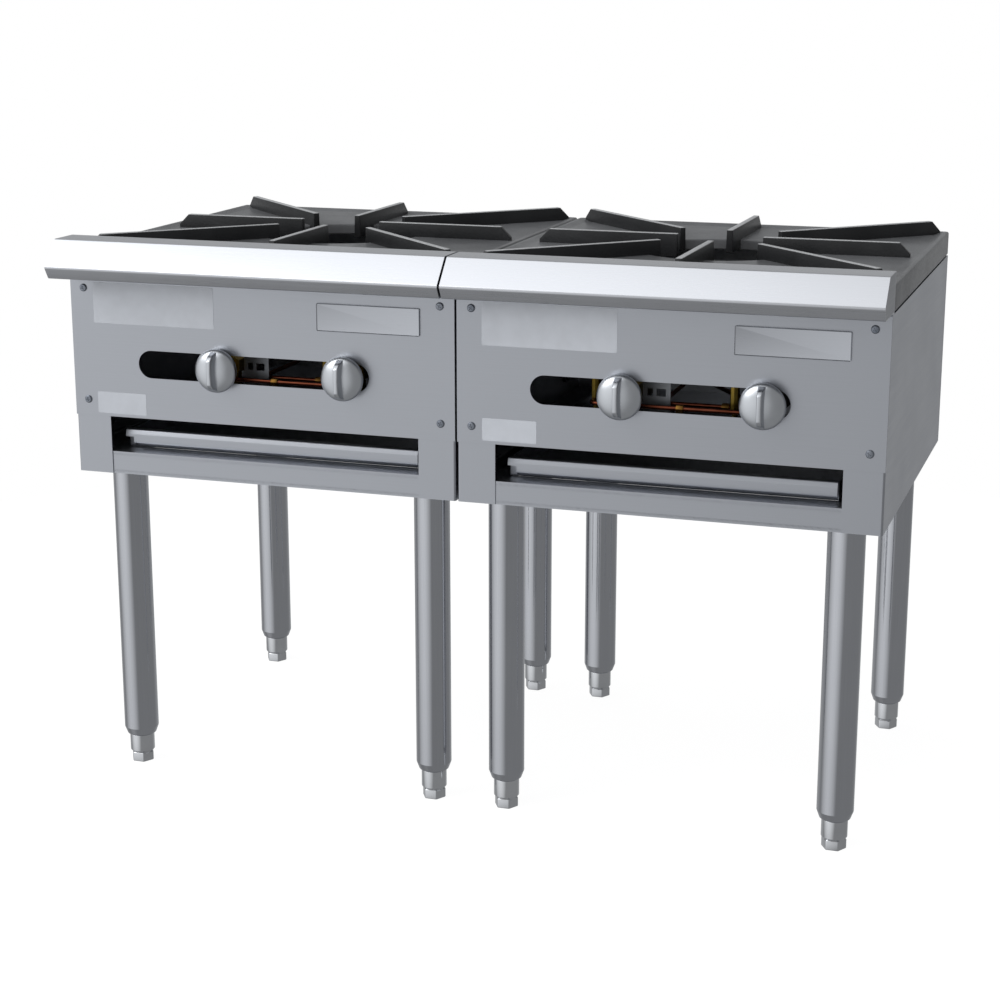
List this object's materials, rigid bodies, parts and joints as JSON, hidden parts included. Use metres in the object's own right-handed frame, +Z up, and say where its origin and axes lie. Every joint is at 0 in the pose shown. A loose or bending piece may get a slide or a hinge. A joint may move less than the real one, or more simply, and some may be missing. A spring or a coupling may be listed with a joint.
{
  "type": "stock pot range",
  "caption": "Floor-standing stock pot gas range on round levelling legs, with finned lift-off cast tops over ring burners, chrome knobs in a slotted control panel and slide-out drip trays.",
  "frame": {"origin": "on the floor under the middle of the whole object", "axes": "+X to the right as a cook faces the knobs, +Y to the rear, +Z up"},
  "size_m": [0.9168, 0.5462, 0.632],
  "materials": {
    "stainless": "satin stainless sheet",
    "tray_steel": "satin stainless sheet",
    "leg_steel": "polished stainless tube",
    "foot_chrome": "bright plated",
    "knob_chrome": "bright chrome",
    "cast_top": "sand-cast, matt grey-black",
    "burner_iron": "sand-cast, heat-darkened",
    "pipe": "black pipe",
    "galvanised": "galvanised",
    "brass": "machined",
    "copper": "drawn copper tube",
    "fastener": "zinc plated"
  },
  "bodies": {
    "battery": {"air_shutters": "galvanised", "gas_valves": "brass", "joining_bolts": "fastener", "joining_nuts": "fastener", "joining_spacers": "fastener", "left_back_panel": "stainless", "left_base_frame": "galvanised", "left_bottom_rail": "stainless", "left_burner_supports": "galvanised", "left_control_panel": "stainless", "left_front_nose": "stainless", "left_inner_burner": "burner_iron", "left_manifold": "pipe", "left_manifold_brackets": "galvanised", "left_mixer_tubes": "burner_iron", "left_outer_burner": "burner_iron", "left_side_panel_left": "stainless", "left_side_panel_right": "stainless", "leg_nuts": "fastener", "legs": "leg_steel", "panel_screws": "fastener", "pilot_burners": "brass", "pilot_tubes": "copper", "pilot_valves": "brass", "right_back_panel": "stainless", "right_base_frame": "galvanised", "right_bottom_rail": "stainless", "right_burner_supports": "galvanised", "right_control_panel": "stainless", "right_front_nose": "stainless", "right_inner_burner": "burner_iron", "right_manifold": "pipe", "right_manifold_brackets": "galvanised", "right_mixer_tubes": "burner_iron", "right_outer_burner": "burner_iron", "right_side_panel_left": "stainless", "right_side_panel_right": "stainless", "tray_runners": "galvanised", "valve_brackets": "galvanised"},
    "left_grate": {"left_top_grate": "cast_top"},
    "left_tray": {"left_drip_tray": "tray_steel"},
    "left_outer_control": {"left_outer_knob": "knob_chrome", "left_outer_stem": "brass"},
    "left_inner_control": {"left_inner_knob": "knob_chrome", "left_inner_stem": "brass"},
    "left_foot_front_left": {"left_foot_front_left": "foot_chrome"},
    "left_foot_front_right": {"left_foot_front_right": "foot_chrome"},
    "left_foot_rear_left": {"left_foot_rear_left": "foot_chrome"},
    "left_foot_rear_right": {"left_foot_rear_right": "foot_chrome"},
    "right_grate": {"right_top_grate": "cast_top"},
    "right_tray": {"right_drip_tray": "tray_steel"},
    "right_outer_control": {"right_outer_knob": "knob_chrome", "right_outer_stem": "brass"},
    "right_inner_control": {"right_inner_knob": "knob_chrome", "right_inner_stem": "brass"},
    "right_foot_front_left": {"right_foot_front_left": "foot_chrome"},
    "right_foot_front_right": {"right_foot_front_right": "foot_chrome"},
    "right_foot_rear_left": {"right_foot_rear_left": "foot_chrome"},
    "right_foot_rear_right": {"right_foot_rear_right": "foot_chrome"}
  },
  "joints": [
    {"name": "left_grate_lift", "type": "slide", "parent": "battery", "child": "left_grate", "axis": [0, 0, 1], "range_m": [0, 0.1]},
    {"name": "left_tray_slide", "type": "slide", "parent": "battery", "child": "left_tray", "axis": [0, -1, 0], "range_m": [0, 0.35]},
    {"name": "left_outer_knob_turn", "type": "hinge", "parent": "battery", "child": "left_outer_control", "pos_m": [-0.27645, -0.21892, 0.4915], "axis": [0, -1, 0], "range_deg": [0, 90]},
    {"name": "left_inner_knob_turn", "type": "hinge", "parent": "battery", "child": "left_inner_control", "pos_m": [-0.12645, -0.21892, 0.4915], "axis": [0, -1, 0], "range_deg": [0, 90]},
    {"name": "left_foot_front_left_level", "type": "slide", "parent": "battery", "child": "left_foot_front_left", "axis": [0, 0, -1], "range_m": [0, 0.025]},
    {"name": "left_foot_front_right_level", "type": "slide", "parent": "battery", "child": "left_foot_front_right", "axis": [0, 0, -1], "range_m": [0, 0.025]},
    {"name": "left_foot_rear_left_level", "type": "slide", "parent": "battery", "child": "left_foot_rear_left", "axis": [0, 0, -1], "range_m": [0, 0.025]},
    {"name": "left_foot_rear_right_level", "type": "slide", "parent": "battery", "child": "left_foot_rear_right", "axis": [0, 0, -1], "range_m": [0, 0.025]},
    {"name": "right_grate_lift", "type": "slide", "parent": "battery", "child": "right_grate", "axis": [0, 0, 1], "range_m": [0, 0.1]},
    {"name": "right_tray_slide", "type": "slide", "parent": "battery", "child": "right_tray", "axis": [0, -1, 0], "range_m": [0, 0.35]},
    {"name": "right_outer_knob_turn", "type": "hinge", "parent": "battery", "child": "right_outer_control", "pos_m": [0.18325, -0.21892, 0.4915], "axis": [0, -1, 0], "range_deg": [0, 90]},
    {"name": "right_inner_knob_turn", "type": "hinge", "parent": "battery", "child": "right_inner_control", "pos_m": [0.33325, -0.21892, 0.4915], "axis": [0, -1, 0], "range_deg": [0, 90]},
    {"name": "right_foot_front_left_level", "type": "slide", "parent": "battery", "child": "right_foot_front_left", "axis": [0, 0, -1], "range_m": [0, 0.025]},
    {"name": "right_foot_front_right_level", "type": "slide", "parent": "battery", "child": "right_foot_front_right", "axis": [0, 0, -1], "range_m": [0, 0.025]},
    {"name": "right_foot_rear_left_level", "type": "slide", "parent": "battery", "child": "right_foot_rear_left", "axis": [0, 0, -1], "range_m": [0, 0.025]},
    {"name": "right_foot_rear_right_level", "type": "slide", "parent": "battery", "child": "right_foot_rear_right", "axis": [0, 0, -1], "range_m": [0, 0.025]}
  ]
}
